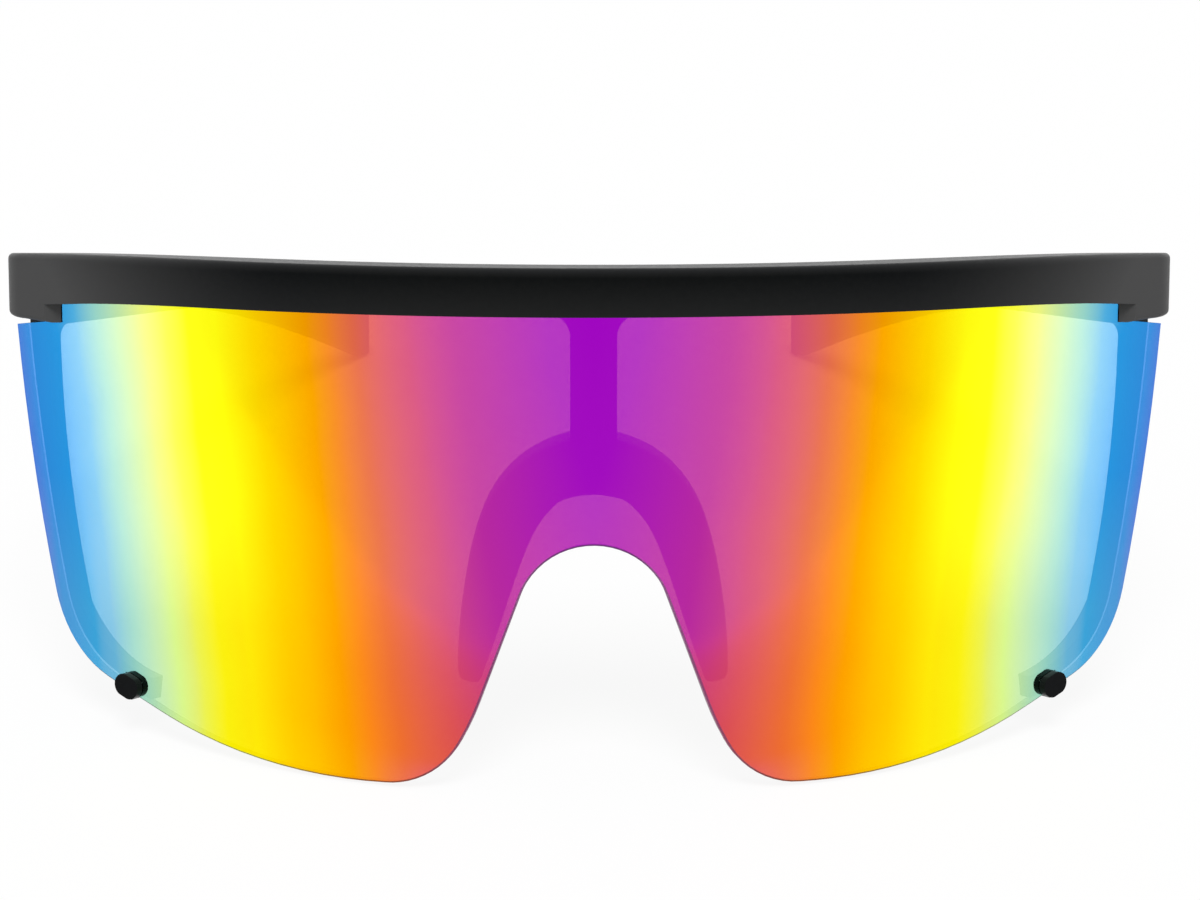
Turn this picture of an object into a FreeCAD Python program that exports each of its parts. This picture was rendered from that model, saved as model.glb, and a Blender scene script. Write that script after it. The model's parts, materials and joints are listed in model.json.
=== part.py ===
import FreeCAD, Part
import math
import os
import Sketcher
from BOPTools import SplitAPI

# Shield sunglasses: one cylindrical mirror lens hung in a half frame, a soft nose saddle
# on a centre stem, and two folding temples on three-barrel screw hinges.
# The front is drawn upright, with the lens's foremost line at y = 0 and its lowest edge at
# z = 0, +Y towards the wearer. At the end every piece leans back by rest_tilt, so that the
# glasses stand on the lens's lobes and the temple tips.

os.makedirs("parts", exist_ok=True)
doc = FreeCAD.newDocument("shield_sunglasses")
Vector = FreeCAD.Vector

# Driving dimensions: lengths in millimetres, angles in degrees
dimensions = {
    "front_width": 152.0,        # across the outer faces of the end pieces
    "rest_tilt": 11.7,           # lean of the front when the glasses stand on a table
    "fit_gap": 0.1,              # clearance between pieces that seat on each other
    "cut_overrun": 1.0,          # how far a cutting shape passes the piece it cuts
    "lens_radius": 106.0,        # front face of the cylindrical lens
    "lens_thickness": 2.0,
    "lens_span": 83.3,           # half width of the flat lens at its top corners
    "lens_side_height": 54.7,    # top corners above the lowest edge
    "lens_step_span": 77.2,      # half width at the step beside the end piece
    "lens_step_rise": 0.75,
    "lens_relief_rise": 2.05,    # round bite at the foot of the lens's top tongue
    "lens_relief_width": 1.7,
    "lens_tongue_span": 75.2,    # half width of the tongue in the brow's groove
    "lens_edge_bevel": 0.25,
    "nose_top": 30.6,            # top of the nose cut-out
    "nose_radius": 9.7,
    "nose_flare": 20.8,          # nose cut-out's sides, from upright
    "nose_foot": 10.6,           # height at which the sides start to round into the lobes
    "brow_bottom": 59.0,
    "brow_height": 6.0,
    "brow_lip": 1.5,             # brow in front of the lens
    "brow_wall": 2.0,            # brow, legs and stem behind the lens
    "brow_level": 10.0,          # depth over which the brow stays level before it falls
    "brow_fall": 2.2,            # fall of the brow's top edge at the temples
    "brow_sag": 1.1,             # fall of the brow's bottom edge at the end pieces
    "brow_round": 0.7,
    "brow_bevel": 0.5,           # on the brow's top edge behind the lens
    "groove_depth": 3.4,
    "end_width": 5.6,            # end piece below the brow, seen from the front
    "end_drop": 3.45,            # end piece's inner bottom corner below the brow
    "end_lift": 0.65,            # rise of its bottom edge towards the temple
    "end_thickness": 5.0,
    "end_round": 6.0,
    "end_inner_round": 3.0,
    "butt_depth": 7.5,           # joint with the temple, behind the round of the front corner
    "leg_inset": 0.2,            # leg inside the lens's outer edge
    "hook_length": 4.3,
    "hook_width": 2.9,
    "hook_inset": 1.0,           # hook's middle inside the lens's edge
    "hook_tab": 1.0,             # hook's thickness in front of the lens
    "notch_width": 2.4,
    "notch_depth": 2.0,
    "stem_width": 5.9,
    "stem_flare": 2.8,
    "stem_bottom": 37.6,
    "peg_size": 3.6,
    "peg_height": 40.3,
    "saddle_half_width": 16.8,
    "saddle_top": 44.2,
    "saddle_height": 31.2,
    "saddle_depth": 8.5,
    "temple_gap": 0.12,          # between the end piece and the open temple
    "temple_length": 130.0,
    "temple_straight": 62.0,     # length before the temple bends down
    "temple_slope": 5.6,         # fall of the straight length
    "temple_thickness": 3.4,
    "temple_bulge": 6.8,         # outward bow of the temple, seen from above
    "temple_tip_spacing": 79.0,  # between the outer faces of the tips
    "temple_tip_height": 7.6,
    "temple_round": 1.0,
    "temple_tip_bevel": 0.7,
    "hinge_height": 4.8,
    "barrel_radius": 1.6,
    "barrel_gap": 0.1,           # between neighbouring knuckles
    "barrel_relief": 0.3,        # room round the barrel
    "hinge_inset": 0.8,          # hinge axis inside the end piece's inner face
    "leaf_thickness": 1.0,
    "leaf_start": 2.0,           # plate's near end from the axis
    "leaf_reach": 6.0,           # plate's far end from the axis
    "screw_radius": 0.7,
    "screw_clearance": 0.05,
    "screw_head_radius": 1.25,
    "screw_head_height": 0.7,
    "screw_slot_width": 0.35,
    "screw_slot_depth": 0.35,
}

# Lower edge of the flat lens as shares of lens_span and lens_side_height
lobe_inner_shares = (0.2, 0.1025)
lobe_bottom_shares = (0.316, 0.0)
hook_inner_shares = (0.6815, 0.105)
hook_outer_shares = (0.808, 0.183)
side_foot_shares = (0.918, 0.3693)
lobe_rest_shares = (0.371, 0.0023)
nose_foot_bow_share = 0.02
lobe_bow_share = 0.14
bottom_bow_share = 0.047
corner_bow_share = 0.117
side_bow_share = 0.0186
relief_bow_share = 0.2
hook_place_share = 0.62
hook_end_bow_share = 0.42

# Inner edge of the flat leg as shares of lens_span and lens_side_height
strip_start_share = 0.605
strip_end_shares = (0.93, 1.003)
leg_top_shares = (0.951, 0.965)
leg_knee_shares = (0.887, 0.338)
leg_foot_shares = (0.733, 0.184)
leg_knee_bow_share = 0.034
leg_foot_bow_share = 0.1
strip_bow_share = 0.2

# Saddle outlines as shares of saddle_half_width and of the height below saddle_top,
# each with the bow of the edge that follows
saddle_front_shares = [
    (0.0, 0.0, -0.138), (0.786, 0.25, -0.052), (1.0, 0.9, 0.0), (0.99, 1.0, -0.2),
    (0.87, 1.04, 0.0), (0.494, 0.497, 0.127), (0.0, 0.242, 0.0),
]
saddle_rear_shares = [
    (0.0, 0.055, -0.138), (0.792, 0.3, -0.052), (1.01, 0.9, 0.0), (1.0, 1.0, -0.2),
    (0.88, 1.04, 0.0), (0.56, 0.51, 0.127), (0.0, 0.225, 0.0),
]

# The temple is lofted in even steps from its root to its tip
temple_steps = 10
tip_corner_share = 0.4
quarter_bow_share = (math.sqrt(2) - 1) / 2

wrap_points = 9
tiny = 1e-3


class Size:
    # A number together with the sheet formula that it comes from

    def __init__(self, value, formula):
        self.value = value
        self.formula = formula

    def join(self, sign, other, value):
        return Size(value, f"({self.formula} {sign} {as_size(other).formula})")

    def __add__(self, other):
        return self.join("+", other, self.value + as_size(other).value)

    def __radd__(self, other):
        return as_size(other) + self

    def __sub__(self, other):
        return self.join("-", other, self.value - as_size(other).value)

    def __rsub__(self, other):
        return as_size(other) - self

    def __mul__(self, other):
        return self.join("*", other, self.value * as_size(other).value)

    def __rmul__(self, other):
        return as_size(other) * self

    def __truediv__(self, other):
        return self.join("/", other, self.value / as_size(other).value)

    def __neg__(self):
        return self * -1


def as_size(number):
    if isinstance(number, Size):
        return number
    return Size(float(number), f"({float(number):.8g})")


def root(number):
    return Size(math.sqrt(number.value), f"sqrt({number.formula})")


def sine(angle):
    return Size(math.sin(math.radians(angle.value)), f"sin({angle.formula})")


def cosine(angle):
    return Size(math.cos(math.radians(angle.value)), f"cos({angle.formula})")


def tangent(angle):
    return sine(angle) / cosine(angle)


def length_of(across, along):
    return root(across * across + along * along)


sheet = doc.addObject("Spreadsheet::Sheet", "dims")
for row, (name, value) in enumerate(dimensions.items(), start=1):
    sheet.set(f"A{row}", name)
    sheet.set(f"B{row}", str(value))
    sheet.setAlias(f"B{row}", name)
doc.recompute()
size = {name: Size(float(sheet.get(name)), f"dims.{name}") for name in dimensions}

planes = {
    "plan": FreeCAD.Rotation(),
    "front": FreeCAD.Rotation(Vector(1, 0, 0), 90),
    "side": FreeCAD.Rotation(Vector(1, 1, 1), 120),
}
roles = {"plan": "XY_Plane", "front": "XZ_Plane", "side": "YZ_Plane"}
# Numbers of the sketch's origin point, and of its vertical and horizontal axes
origin_point = (-1, 1)
sketch_axes = (-2, -1)


def bind(thing, path, number):
    thing.setExpression(path, as_size(number).formula)


def place_point(sketch, edge, end, across, along):
    for kind, axis, place in zip(("DistanceX", "DistanceY"), sketch_axes, (across, along)):
        number = as_size(place)
        if number.value == 0:
            sketch.addConstraint(Sketcher.Constraint("PointOnObject", edge, end, axis))
            continue
        points = (*origin_point, edge, end) if number.value > 0 else (edge, end, *origin_point)
        index = sketch.addConstraint(Sketcher.Constraint(kind, *points, abs(number.value)))
        bind(sketch, f"Constraints[{index}]", number if number.value > 0 else -number)


def set_radius(sketch, edge, radius):
    index = sketch.addConstraint(Sketcher.Constraint("Radius", edge, radius.value))
    bind(sketch, f"Constraints[{index}]", radius)


def bow_radius(start, end, bow):
    if isinstance(bow, Size):
        return bow if bow.value > 0 else -bow
    chord = length_of(as_size(end[0]) - start[0], as_size(end[1]) - start[1])
    return chord * ((1 + 4 * bow * bow) / (8 * abs(bow)))


def arc_curve(start, end, radius, turns_left):
    first = Vector(as_size(start[0]).value, as_size(start[1]).value)
    last = Vector(as_size(end[0]).value, as_size(end[1]).value)
    chord = last - first
    left = Vector(-chord.y, chord.x).normalize()
    reach = math.sqrt(radius ** 2 - chord.Length ** 2 / 4)
    centre = (first + last) / 2 + left * (reach if turns_left else -reach)
    begin, finish = (first - centre, last - centre) if turns_left else (last - centre, first - centre)
    begin_angle = math.atan2(begin.y, begin.x)
    finish_angle = math.atan2(finish.y, finish.x)
    if finish_angle < begin_angle:
        finish_angle += 2 * math.pi
    return Part.ArcOfCircle(Part.Circle(centre, Vector(0, 0, 1), radius), begin_angle, finish_angle)


def draw(sketch, outline):
    # A closed outline of corners (across, along, bow): the bow is of the edge that leaves the
    # corner, to the right of travel, as a share of its chord or as a signed radius
    ends = []
    for index, (across, along, bow) in enumerate(outline):
        start, end = outline[index], outline[(index + 1) % len(outline)]
        bow_value = bow.value if isinstance(bow, Size) else bow
        if bow_value == 0:
            first = Vector(as_size(across).value, as_size(along).value)
            last = Vector(as_size(end[0]).value, as_size(end[1]).value)
            edge = sketch.addGeometry(Part.LineSegment(first, last))
        else:
            radius = bow_radius(start, end, bow)
            edge = sketch.addGeometry(arc_curve(start, end, radius.value, bow_value > 0))
            set_radius(sketch, edge, radius)
        ends.append((edge, 1, 2) if bow_value >= 0 else (edge, 2, 1))
    for index, (edge, start_end, last_end) in enumerate(ends):
        next_edge, next_start, next_last = ends[(index + 1) % len(ends)]
        sketch.addConstraint(Sketcher.Constraint("Coincident", edge, last_end, next_edge, next_start))
        place_point(sketch, edge, start_end, outline[index][0], outline[index][1])


def draw_circle(sketch, across, along, radius):
    centre = Vector(as_size(across).value, as_size(along).value)
    edge = sketch.addGeometry(Part.Circle(centre, Vector(0, 0, 1), radius.value))
    set_radius(sketch, edge, radius)
    place_point(sketch, edge, 3, across, along)


def mirrored(outline):
    return [(-as_size(across), along, -bow) for across, along, bow in outline]


def both_sides(half, crossing=0):
    # A half outline on +X, its mirror image, and the edge that crosses back to its start
    other = []
    for index in range(len(half) - 1, -1, -1):
        bow = half[index - 1][2] if index > 0 else crossing
        other.append((-as_size(half[index][0]), half[index][1], bow))
    return half[:-1] + [(half[-1][0], half[-1][1], 0)] + other


def handed(outline, side):
    return outline if side > 0 else mirrored(outline)


def free_sketch(name, plane, outline):
    sketch = doc.addObject("Sketcher::SketchObject", name)
    sketch.Placement = FreeCAD.Placement(Vector(), planes[plane])
    draw(sketch, outline)
    return sketch


def body_sketch(body, name, plane, outline, offset):
    sketch = body.newObject("Sketcher::SketchObject", name)
    feature = next(item for item in body.Origin.OriginFeatures if item.Role == roles[plane])
    sketch.AttachmentSupport = [(feature, "")]
    sketch.MapMode = "FlatFace"
    bind(sketch, "AttachmentOffset.Base.z", offset)
    if outline:
        draw(sketch, outline)
    return sketch


def extrusion(name, sketch, forward, backward):
    solid = doc.addObject("Part::Extrusion", name)
    solid.Base = sketch
    solid.DirMode = "Normal"
    solid.Solid = True
    bind(solid, "LengthFwd", forward)
    bind(solid, "LengthRev", backward)
    return solid


def block(name, low, extent):
    solid = doc.addObject("Part::Box", name)
    for path, number in zip(("Length", "Width", "Height"), extent):
        bind(solid, path, number)
    for path, number in zip("xyz", low):
        bind(solid, f"Placement.Base.{path}", number)
    return solid


def handed_block(name, side, low, extent):
    across = low[0] if side > 0 else -as_size(low[0]) - extent[0]
    return block(name, (across, low[1], low[2]), extent)


def upright(name, side, base, radius, height):
    solid = doc.addObject("Part::Cylinder", name)
    bind(solid, "Radius", radius)
    bind(solid, "Height", height)
    for path, number in zip("xyz", (side * as_size(base[0]), base[1], base[2])):
        bind(solid, f"Placement.Base.{path}", number)
    return solid


def fused(name, pieces):
    solid = doc.addObject("Part::MultiFuse", name)
    solid.Shapes = pieces
    solid.Refine = True
    return solid


def common(name, pieces):
    solid = doc.addObject("Part::MultiCommon", name)
    solid.Shapes = pieces
    return solid


def cut(name, base, tools):
    tool = tools[0] if len(tools) == 1 else fused(f"{name}_tools", tools)
    solid = doc.addObject("Part::Cut", name)
    solid.Base = base
    solid.Tool = tool
    return solid


def eased(kind, name, base, amount, wanted):
    # A Fillet or Chamfer on the edges that the wanted test picks by their middle points
    doc.recompute()
    picked = []
    for index, edge in enumerate(base.Shape.Edges, start=1):
        middle = edge.valueAt((edge.FirstParameter + edge.LastParameter) / 2)
        if wanted(edge, middle):
            picked.append((index, amount.value, amount.value))
    solid = doc.addObject(f"Part::{kind}", name)
    solid.Base = base
    solid.Edges = picked
    return solid


def wrapped(name, sketch, outer, inner):
    # A flat outline (arc length round the lens, height) wrapped on the lens's cylinder and
    # given thickness from the outer to the inner radius, with walls square to the surface
    doc.recompute()
    axis_depth, overrun = size["lens_radius"].value, size["cut_overrun"].value
    walls = []
    for edge in sketch.Shape.Wires[0].OrderedEdges:
        rails = []
        for radius in (outer.value + overrun, inner.value - overrun):
            points = []
            for point in edge.discretize(Number=wrap_points):
                turn = point.x / axis_depth
                depth = axis_depth - radius * math.cos(turn)
                points.append(Vector(radius * math.sin(turn), depth, point.z))
            rail = Part.BSplineCurve()
            rail.interpolate(points)
            rails.append(rail.toShape())
        walls.append(Part.makeRuledSurface(*rails))
    wall = Part.makeShell(walls)
    wall.sewShape()
    box = sketch.Shape.BoundBox
    base = Vector(0, axis_depth, box.ZMin - overrun)
    height = box.ZLength + 2 * overrun
    core = Part.makeCylinder(inner.value, height, base)
    ring = Part.makeCylinder(outer.value, height, base).cut(core)
    pieces = SplitAPI.slice(ring, [wall], "Split").Solids
    plate = doc.addObject("Part::Feature", name)
    plate.Shape = min(pieces, key=lambda piece: piece.BoundBox.ZLength)
    return plate


def flat_point(shares):
    return size["lens_span"] * shares[0], size["lens_side_height"] * shares[1]


def from_lens_axis(point):
    return math.hypot(point.x, point.y - size["lens_radius"].value)


def band_corner(radius, side_x, corner_round):
    # Where a round on the corner between the wrapped band and the straight side touches both
    reach = radius - corner_round
    across = side_x - corner_round
    depth = root(reach * reach - across * across)
    on_band = (across * radius / reach, size["lens_radius"] - depth * radius / reach)
    on_side = (side_x, size["lens_radius"] - depth)
    return on_band, on_side


# Places that several pieces share
half_width = size["front_width"] / 2
lens_back = size["lens_radius"] - size["lens_thickness"]
lens_step = size["lens_side_height"] + size["lens_step_rise"]
plate_outer = lens_back - size["fit_gap"]
plate_inner = plate_outer - size["brow_wall"]
lip_radius = size["lens_radius"] + size["brow_lip"]
groove_top = size["brow_bottom"] + size["groove_depth"]
plate_top = size["brow_bottom"] + size["groove_depth"] / 2
brow_top = size["brow_bottom"] + size["brow_height"]
inner_face = half_width - size["end_thickness"]
outer_band, outer_side = band_corner(lip_radius, half_width, size["end_round"])
inner_band, inner_side = band_corner(plate_inner, inner_face, size["end_inner_round"])
butt_place = outer_side[1] + size["butt_depth"]
temple_front = butt_place + size["temple_gap"]
temple_top = brow_top - size["brow_fall"]
temple_bottom = size["brow_bottom"] - size["end_drop"] + size["end_lift"]
hinge_axis = inner_face - size["hinge_inset"]
hinge_low = (temple_top + temple_bottom) / 2 - size["hinge_height"] / 2
relief_radius = size["barrel_radius"] + size["barrel_relief"]

# Hook frame on the straight stretch of the lens's lower edge: place, direction and inward normal
hook_inner = flat_point(hook_inner_shares)
hook_outer = flat_point(hook_outer_shares)
hook_run = (hook_outer[0] - hook_inner[0], hook_outer[1] - hook_inner[1])
hook_way = (hook_run[0] / length_of(*hook_run), hook_run[1] / length_of(*hook_run))


def at_hook(along, inward, bow=0):
    across = hook_inner[0] + hook_run[0] * hook_place_share + hook_way[0] * along - hook_way[1] * inward
    height = hook_inner[1] + hook_run[1] * hook_place_share + hook_way[1] * along + hook_way[0] * inward
    return across, height, bow


def lens_outline():
    touch = (size["nose_radius"] * cosine(size["nose_flare"]),
             size["nose_top"] - size["nose_radius"] + size["nose_radius"] * sine(size["nose_flare"]))
    foot = touch[0] + (touch[1] - size["nose_foot"]) * tangent(size["nose_flare"])
    notch = size["notch_width"] / 2
    half = [
        (*touch, 0),
        (foot, size["nose_foot"], nose_foot_bow_share),
        (*flat_point(lobe_inner_shares), lobe_bow_share),
        (*flat_point(lobe_bottom_shares), bottom_bow_share),
        (*hook_inner, 0),
        at_hook(-notch, 0),
        at_hook(-notch, size["notch_depth"]),
        at_hook(notch, size["notch_depth"]),
        at_hook(notch, 0),
        (*hook_outer, corner_bow_share),
        (*flat_point(side_foot_shares), side_bow_share),
        (size["lens_span"], size["lens_side_height"], 0),
        (size["lens_step_span"], lens_step, 0),
        (size["lens_tongue_span"] + size["lens_relief_width"], lens_step, -relief_bow_share),
        (size["lens_tongue_span"], lens_step + size["lens_relief_rise"], 0),
        (size["lens_tongue_span"], groove_top - size["fit_gap"], 0),
    ]
    return both_sides(half, -size["nose_radius"])


def make_lens():
    flat = free_sketch("lens_flat", "front", lens_outline())
    plate = wrapped("lens_plate", flat, size["lens_radius"], lens_back)

    def on_front(edge, middle):
        # Front edge of the sides, the lobes and the nose cut-out
        in_front = abs(from_lens_axis(middle) - size["lens_radius"].value) < tiny
        return in_front and middle.z < size["lens_side_height"].value

    return eased("Chamfer", "shield_lens", plate, size["lens_edge_bevel"], on_front)


def make_brow():
    plan = [
        (*outer_band, size["end_round"]), (*outer_side, 0), (half_width, butt_place, 0),
        (inner_face, butt_place, 0), (*inner_side, -size["end_inner_round"]), (*inner_band, -plate_inner),
    ]
    plan += [(-as_size(x), y, bow) for (x, y, _), bow in zip(reversed(plan), (
        -size["end_inner_round"], 0, 0, 0, size["end_round"], lip_radius))]
    step_across = half_width - size["end_width"]
    step_depth = size["lens_radius"] - root(lip_radius * lip_radius - step_across * step_across)
    end_bottom = size["brow_bottom"] - size["end_drop"]
    front_edge = -size["brow_lip"] - size["cut_overrun"]
    back_edge = butt_place + size["cut_overrun"]
    fall_run = back_edge - size["brow_level"]
    top_bow = size["brow_fall"] / fall_run / 4
    sag_bow = size["brow_sag"] / (step_depth - size["brow_level"]) / 4
    profile = [
        (front_edge, size["brow_bottom"], 0),
        (size["brow_level"], size["brow_bottom"], -sag_bow.value),
        (step_depth, size["brow_bottom"] - size["brow_sag"], 0),
        (step_depth, end_bottom, 0),
        (back_edge, temple_bottom, 0),
        (back_edge, temple_top, top_bow.value),
        (size["brow_level"], brow_top, 0),
        (front_edge, brow_top, 0),
    ]
    band = extrusion("brow_band", free_sketch("brow_plan", "plan", plan), brow_top + size["cut_overrun"], 0)
    height = extrusion("brow_height", free_sketch("brow_profile", "side", profile), half_width, half_width)
    body = common("brow_body", [band, height])
    middle_height = (size["brow_bottom"] + size["brow_height"] / 2).value
    sagged_bottom = (size["brow_bottom"] - size["brow_sag"]).value
    outer_skin = (size["lens_radius"] + size["brow_lip"] / 2).value

    def on_outside(edge, middle):
        # Outer edges of the top and of the end pieces' bottom, but not those of the butt faces
        outside = from_lens_axis(middle) > outer_skin or abs(middle.x) > half_width.value - tiny
        level = edge.BoundBox.ZLength < edge.BoundBox.DiagonalLength / 2
        low_or_high = middle.z > middle_height or middle.z < sagged_bottom
        return outside and level and low_or_high and middle.y < butt_place.value - tiny

    def on_inside(edge, middle):
        inside = from_lens_axis(middle) < plate_inner.value + tiny or abs(middle.x) < inner_face.value + tiny
        level = edge.BoundBox.ZLength < edge.BoundBox.DiagonalLength / 2
        return inside and level and middle.z > middle_height and middle.y < butt_place.value - tiny

    soft = eased("Fillet", "brow_soft", body, size["brow_round"], on_outside)
    soft = eased("Chamfer", "brow_bevelled", soft, size["brow_bevel"], on_inside)
    # The groove is wider at its foot, to clear the lens's step and the bite above it
    foot_span = size["lens_step_span"] + size["fit_gap"]
    foot_top = lens_step + size["lens_relief_rise"] + size["fit_gap"]
    tongue_span = size["lens_tongue_span"] + size["fit_gap"]
    groove_flat = free_sketch("groove_flat", "front", both_sides([
        (foot_span, end_bottom - size["cut_overrun"], 0), (foot_span, foot_top, 0),
        (tongue_span, foot_top, 0), (tongue_span, groove_top, 0)]))
    groove = wrapped("groove", groove_flat, size["lens_radius"] + size["fit_gap"], plate_outer)
    # Behind the lens the end piece starts only where the strip under the brow ends
    strip_end = flat_point(strip_end_shares)
    room_flat = free_sketch("strip_room_flat", "front", both_sides([
        (strip_end[0], end_bottom - size["cut_overrun"], 0), (*strip_end, 0),
        (size["lens_span"] * strip_start_share, size["brow_bottom"], 0)]))
    strip_room = wrapped("strip_room", room_flat, plate_outer, plate_inner - size["cut_overrun"])
    return cut("brow", soft, [groove, strip_room])


def leg_outline():
    # Strip under the brow, leg inside the lens's edge, and the foot that carries the hook
    overhang = size["hook_inset"] - size["hook_width"] / 2
    half_hook = size["hook_length"] / 2
    outer_top = size["lens_span"] - size["leg_inset"]
    side_foot = flat_point(side_foot_shares)
    return [
        (size["lens_span"] * strip_start_share, plate_top, 0),
        (size["lens_span"] * strip_start_share, size["brow_bottom"], 0),
        (*flat_point(strip_end_shares), -strip_bow_share),
        (*flat_point(leg_top_shares), -leg_knee_bow_share),
        (*flat_point(leg_knee_shares), -leg_foot_bow_share),
        (*flat_point(leg_foot_shares), 0),
        at_hook(-half_hook, overhang),
        at_hook(half_hook, overhang),
        (hook_outer[0], hook_outer[1] + size["leg_inset"], corner_bow_share),
        (side_foot[0] - size["leg_inset"], side_foot[1], side_bow_share),
        (outer_top, size["lens_side_height"], 0),
        (outer_top, plate_top, 0),
    ]


def make_leg(side, name):

    def hook_plate(feature, outline, outer, inner):
        flat = free_sketch(f"{name}_{feature}_flat", "front", handed(outline, side))
        return wrapped(f"{name}_{feature}", flat, outer, inner)

    leg = hook_plate("leg", leg_outline(), plate_outer, plate_inner)
    straight = (size["hook_length"] - size["hook_width"]) / 2
    near = size["hook_inset"] - size["hook_width"] / 2
    far = size["hook_inset"] + size["hook_width"] / 2
    tab_outline = [at_hook(-straight, near), at_hook(straight, near, hook_end_bow_share),
                   at_hook(straight, far), at_hook(-straight, far, hook_end_bow_share)]
    neck_side = size["notch_width"] / 2 - size["fit_gap"]
    neck_end = size["notch_depth"] - size["fit_gap"]
    neck_outline = [at_hook(-neck_side, near), at_hook(neck_side, near),
                    at_hook(neck_side, neck_end), at_hook(-neck_side, neck_end)]
    tab_back = size["lens_radius"] + size["fit_gap"]
    tab = hook_plate("hook_tab", tab_outline, tab_back + size["hook_tab"], tab_back)
    neck = hook_plate("hook_neck", neck_outline, tab_back + size["hook_tab"] / 2,
                      plate_outer - size["brow_wall"] / 2)
    return [leg, tab, neck]


def make_stem():
    half_stem = size["stem_width"] / 2
    flared = half_stem + size["stem_flare"]
    outline = both_sides([
        (half_stem, size["stem_bottom"], 0),
        (half_stem, size["brow_bottom"] - size["stem_flare"], -size["stem_flare"]),
        (flared, size["brow_bottom"], 0),
        (flared, plate_top, 0),
    ])
    stem = wrapped("stem", free_sketch("stem_flat", "front", outline), plate_outer, plate_inner)
    peg_front = size["lens_radius"] - plate_outer + size["brow_wall"] / 2
    peg_low = size["peg_height"] - size["peg_size"] / 2
    peg = block("stem_peg", (-size["peg_size"] / 2, peg_front, peg_low),
                (size["peg_size"], size["brow_wall"] / 2 + size["saddle_depth"] / 2, size["peg_size"]))
    return [stem, peg]


def leaf_pocket(name, side, start, length):
    gap = size["fit_gap"]
    width = size["leaf_thickness"] + size["cut_overrun"]
    return handed_block(name, side, (inner_face - size["cut_overrun"], start, hinge_low - gap),
                        (width, length, size["hinge_height"] + 2 * gap))


def barrel_room(name, side):
    room = size["screw_head_height"] + size["cut_overrun"]
    return upright(name, side, (hinge_axis, butt_place, hinge_low - size["fit_gap"]), relief_radius,
                   size["hinge_height"] + size["fit_gap"] + room)


def make_front_frame():
    pieces = [make_brow()] + make_stem()
    tools = []
    for side, name in ((1, "left"), (-1, "right")):
        pieces += make_leg(side, name)
        far_end = butt_place - size["leaf_reach"] - size["fit_gap"]
        tools.append(leaf_pocket(f"{name}_front_pocket", side, far_end,
                                 butt_place - far_end + size["cut_overrun"]))
        tools.append(barrel_room(f"{name}_front_relief", side))
    moulding = fused("frame_moulding", pieces)
    return cut("front_frame", moulding, tools)


def make_saddle():
    body = doc.addObject("PartDesign::Body", "nose_saddle")
    front = size["lens_radius"] - plate_inner + size["fit_gap"]
    sections = []
    for name, shares, depth in (("saddle_front", saddle_front_shares, front),
                                ("saddle_rear", saddle_rear_shares, front + size["saddle_depth"])):
        half = [(size["saddle_half_width"] * across, size["saddle_top"] - size["saddle_height"] * down, bow)
                for across, down, bow in shares]
        # The two middle corners lie on the centre line, so the mirror image leaves them out
        other = []
        for index in range(len(half) - 2, 0, -1):
            other.append((-half[index][0], half[index][1], half[index - 1][2]))
        outline = half[:-1] + [(0, half[-1][1], half[-2][2])] + other
        sections.append(body_sketch(body, name, "front", outline, -depth))
    loft = body.newObject("PartDesign::AdditiveLoft", "saddle_loft")
    loft.Profile = sections[0]
    loft.Sections = [sections[1]]
    loft.Ruled = True
    hole = size["peg_size"] / 2 + size["fit_gap"]
    low, high = size["peg_height"] - hole, size["peg_height"] + hole
    socket = body_sketch(body, "saddle_socket", "front",
                         [(-hole, low, 0), (hole, low, 0), (hole, high, 0), (-hole, high, 0)], -front)
    pocket = body.newObject("PartDesign::Pocket", "saddle_peg_hole")
    pocket.Profile = socket
    bind(pocket, "Length", size["saddle_depth"] / 2)
    body.Tip = pocket
    return body


def soft_rectangle(left, right, low, high, corner):
    return [
        (left + corner, low, 0), (right - corner, low, quarter_bow_share),
        (right, low + corner, 0), (right, high - corner, quarter_bow_share),
        (right - corner, high, 0), (left + corner, high, quarter_bow_share),
        (left, high - corner, 0), (left, low + corner, quarter_bow_share),
    ]


def temple_section(share):
    # Depth and outline of the arm at a share of its length: it bows outwards and turns in to the
    # tip, falls evenly as far as the bend and then curves down until the tip stands on the table
    length = size["temple_length"] - size["temple_gap"] - size["temple_tip_bevel"]
    along = length * share
    tip_out = size["temple_tip_spacing"] / 2
    outer = half_width + (tip_out - half_width) * share + size["temple_bulge"] * (4 * share * (1 - share))
    rest_across, rest_height = flat_point(lobe_rest_shares)
    rest_turn = rest_across / size["lens_radius"] * math.degrees(1)
    rest_depth = size["lens_radius"] - lens_back * cosine(rest_turn)
    tip_low = rest_height + (temple_front + length - rest_depth) * tangent(size["rest_tilt"])
    slope = tangent(size["temple_slope"])
    curved = length - size["temple_straight"]
    curve_fall = temple_top - length * slope - tip_low - size["temple_tip_height"]
    high = temple_top - along * slope
    past_bend = along - size["temple_straight"]
    if past_bend.value > 0:
        high = high - curve_fall * (past_bend / curved) * (past_bend / curved)
    root_height = temple_top - temple_bottom
    low = high - root_height - (size["temple_tip_height"] - root_height) * share
    return temple_front + along, outer, low, high


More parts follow.
